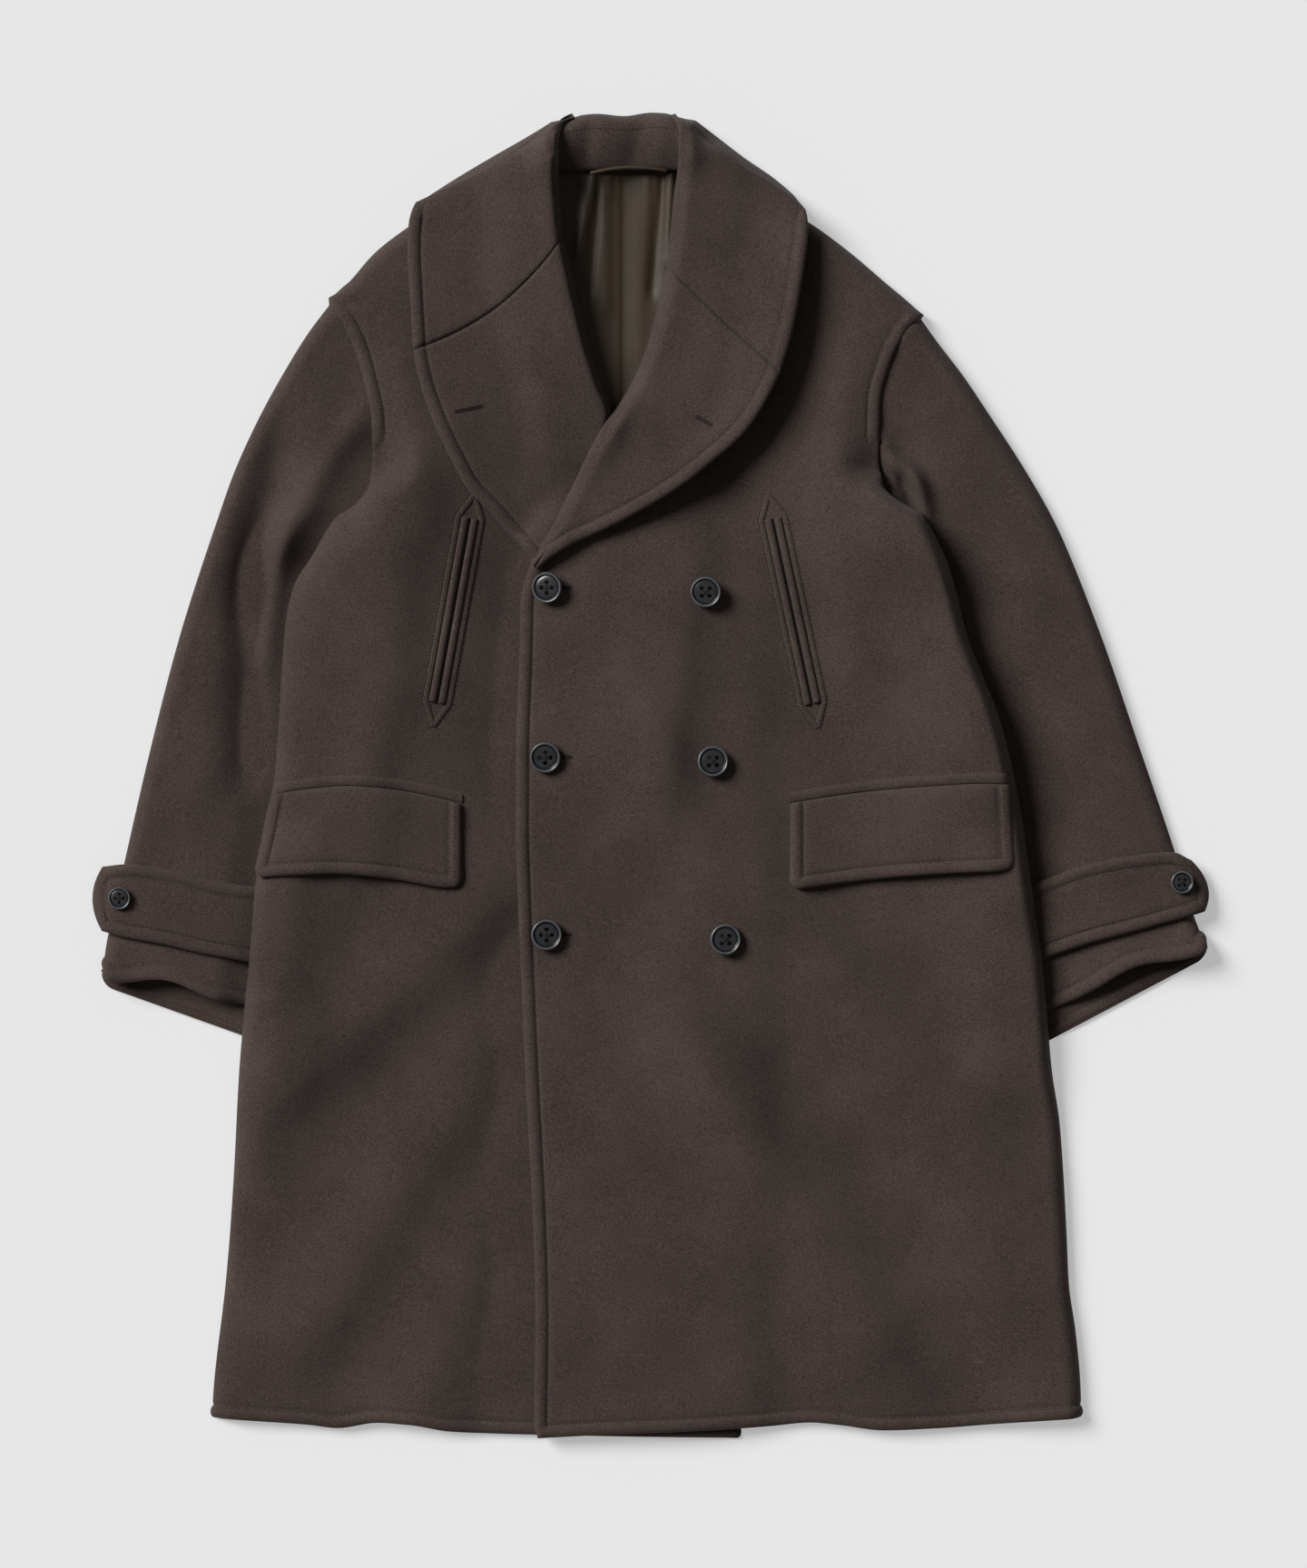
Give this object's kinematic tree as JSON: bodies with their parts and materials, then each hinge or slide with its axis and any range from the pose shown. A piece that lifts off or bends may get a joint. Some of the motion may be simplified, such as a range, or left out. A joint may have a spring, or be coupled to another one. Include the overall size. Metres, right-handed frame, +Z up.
{
  "type": "double-breasted shawl-collar overcoat laid flat",
  "caption": "Heavy wool overcoat with a wide shawl collar, lapped double-breasted fronts, flap pockets and buttoned cuff tabs, lying flat on its back.",
  "frame": {"origin": "middle of the coat's outline in plan, on the surface that it lies on", "axes": "+X towards the wearer's left sleeve, +Y from the hem to the collar, +Z up from the surface"},
  "size_m": [0.9835, 1.1699, 0.0449],
  "materials": {
    "melton_wool": "milled matte wool with a soft nap",
    "satin_lining": "satin weave with a low sheen",
    "horn_button": "polished dark horn"
  },
  "bodies": {
    "root": {"back": "melton_wool", "back_lining": "satin_lining", "chest_welt_left_back": "melton_wool", "chest_welt_left_front": "melton_wool", "chest_welt_right_back": "melton_wool", "chest_welt_right_front": "melton_wool", "collar_fall": "melton_wool", "collar_left": "melton_wool", "collar_right": "melton_wool", "collar_stand": "melton_wool", "cuff_button_left": "horn_button", "cuff_button_right": "horn_button", "cuff_tab_left": "melton_wool", "cuff_tab_right": "melton_wool", "flap_jet_left": "melton_wool", "flap_jet_right": "melton_wool", "flap_left": "melton_wool", "flap_right": "melton_wool", "front_button_left_bottom": "horn_button", "front_button_left_middle": "horn_button", "front_button_left_top": "horn_button", "front_button_right_bottom": "horn_button", "front_button_right_middle": "horn_button", "front_button_right_top": "horn_button", "front_left": "melton_wool", "front_right": "melton_wool", "hanger_loop": "satin_lining", "lapel_left": "melton_wool", "lapel_right": "melton_wool", "sleeve_left_top": "melton_wool", "sleeve_left_under": "melton_wool", "sleeve_right_top": "melton_wool", "sleeve_right_under": "melton_wool"}
  },
  "joints": []
}
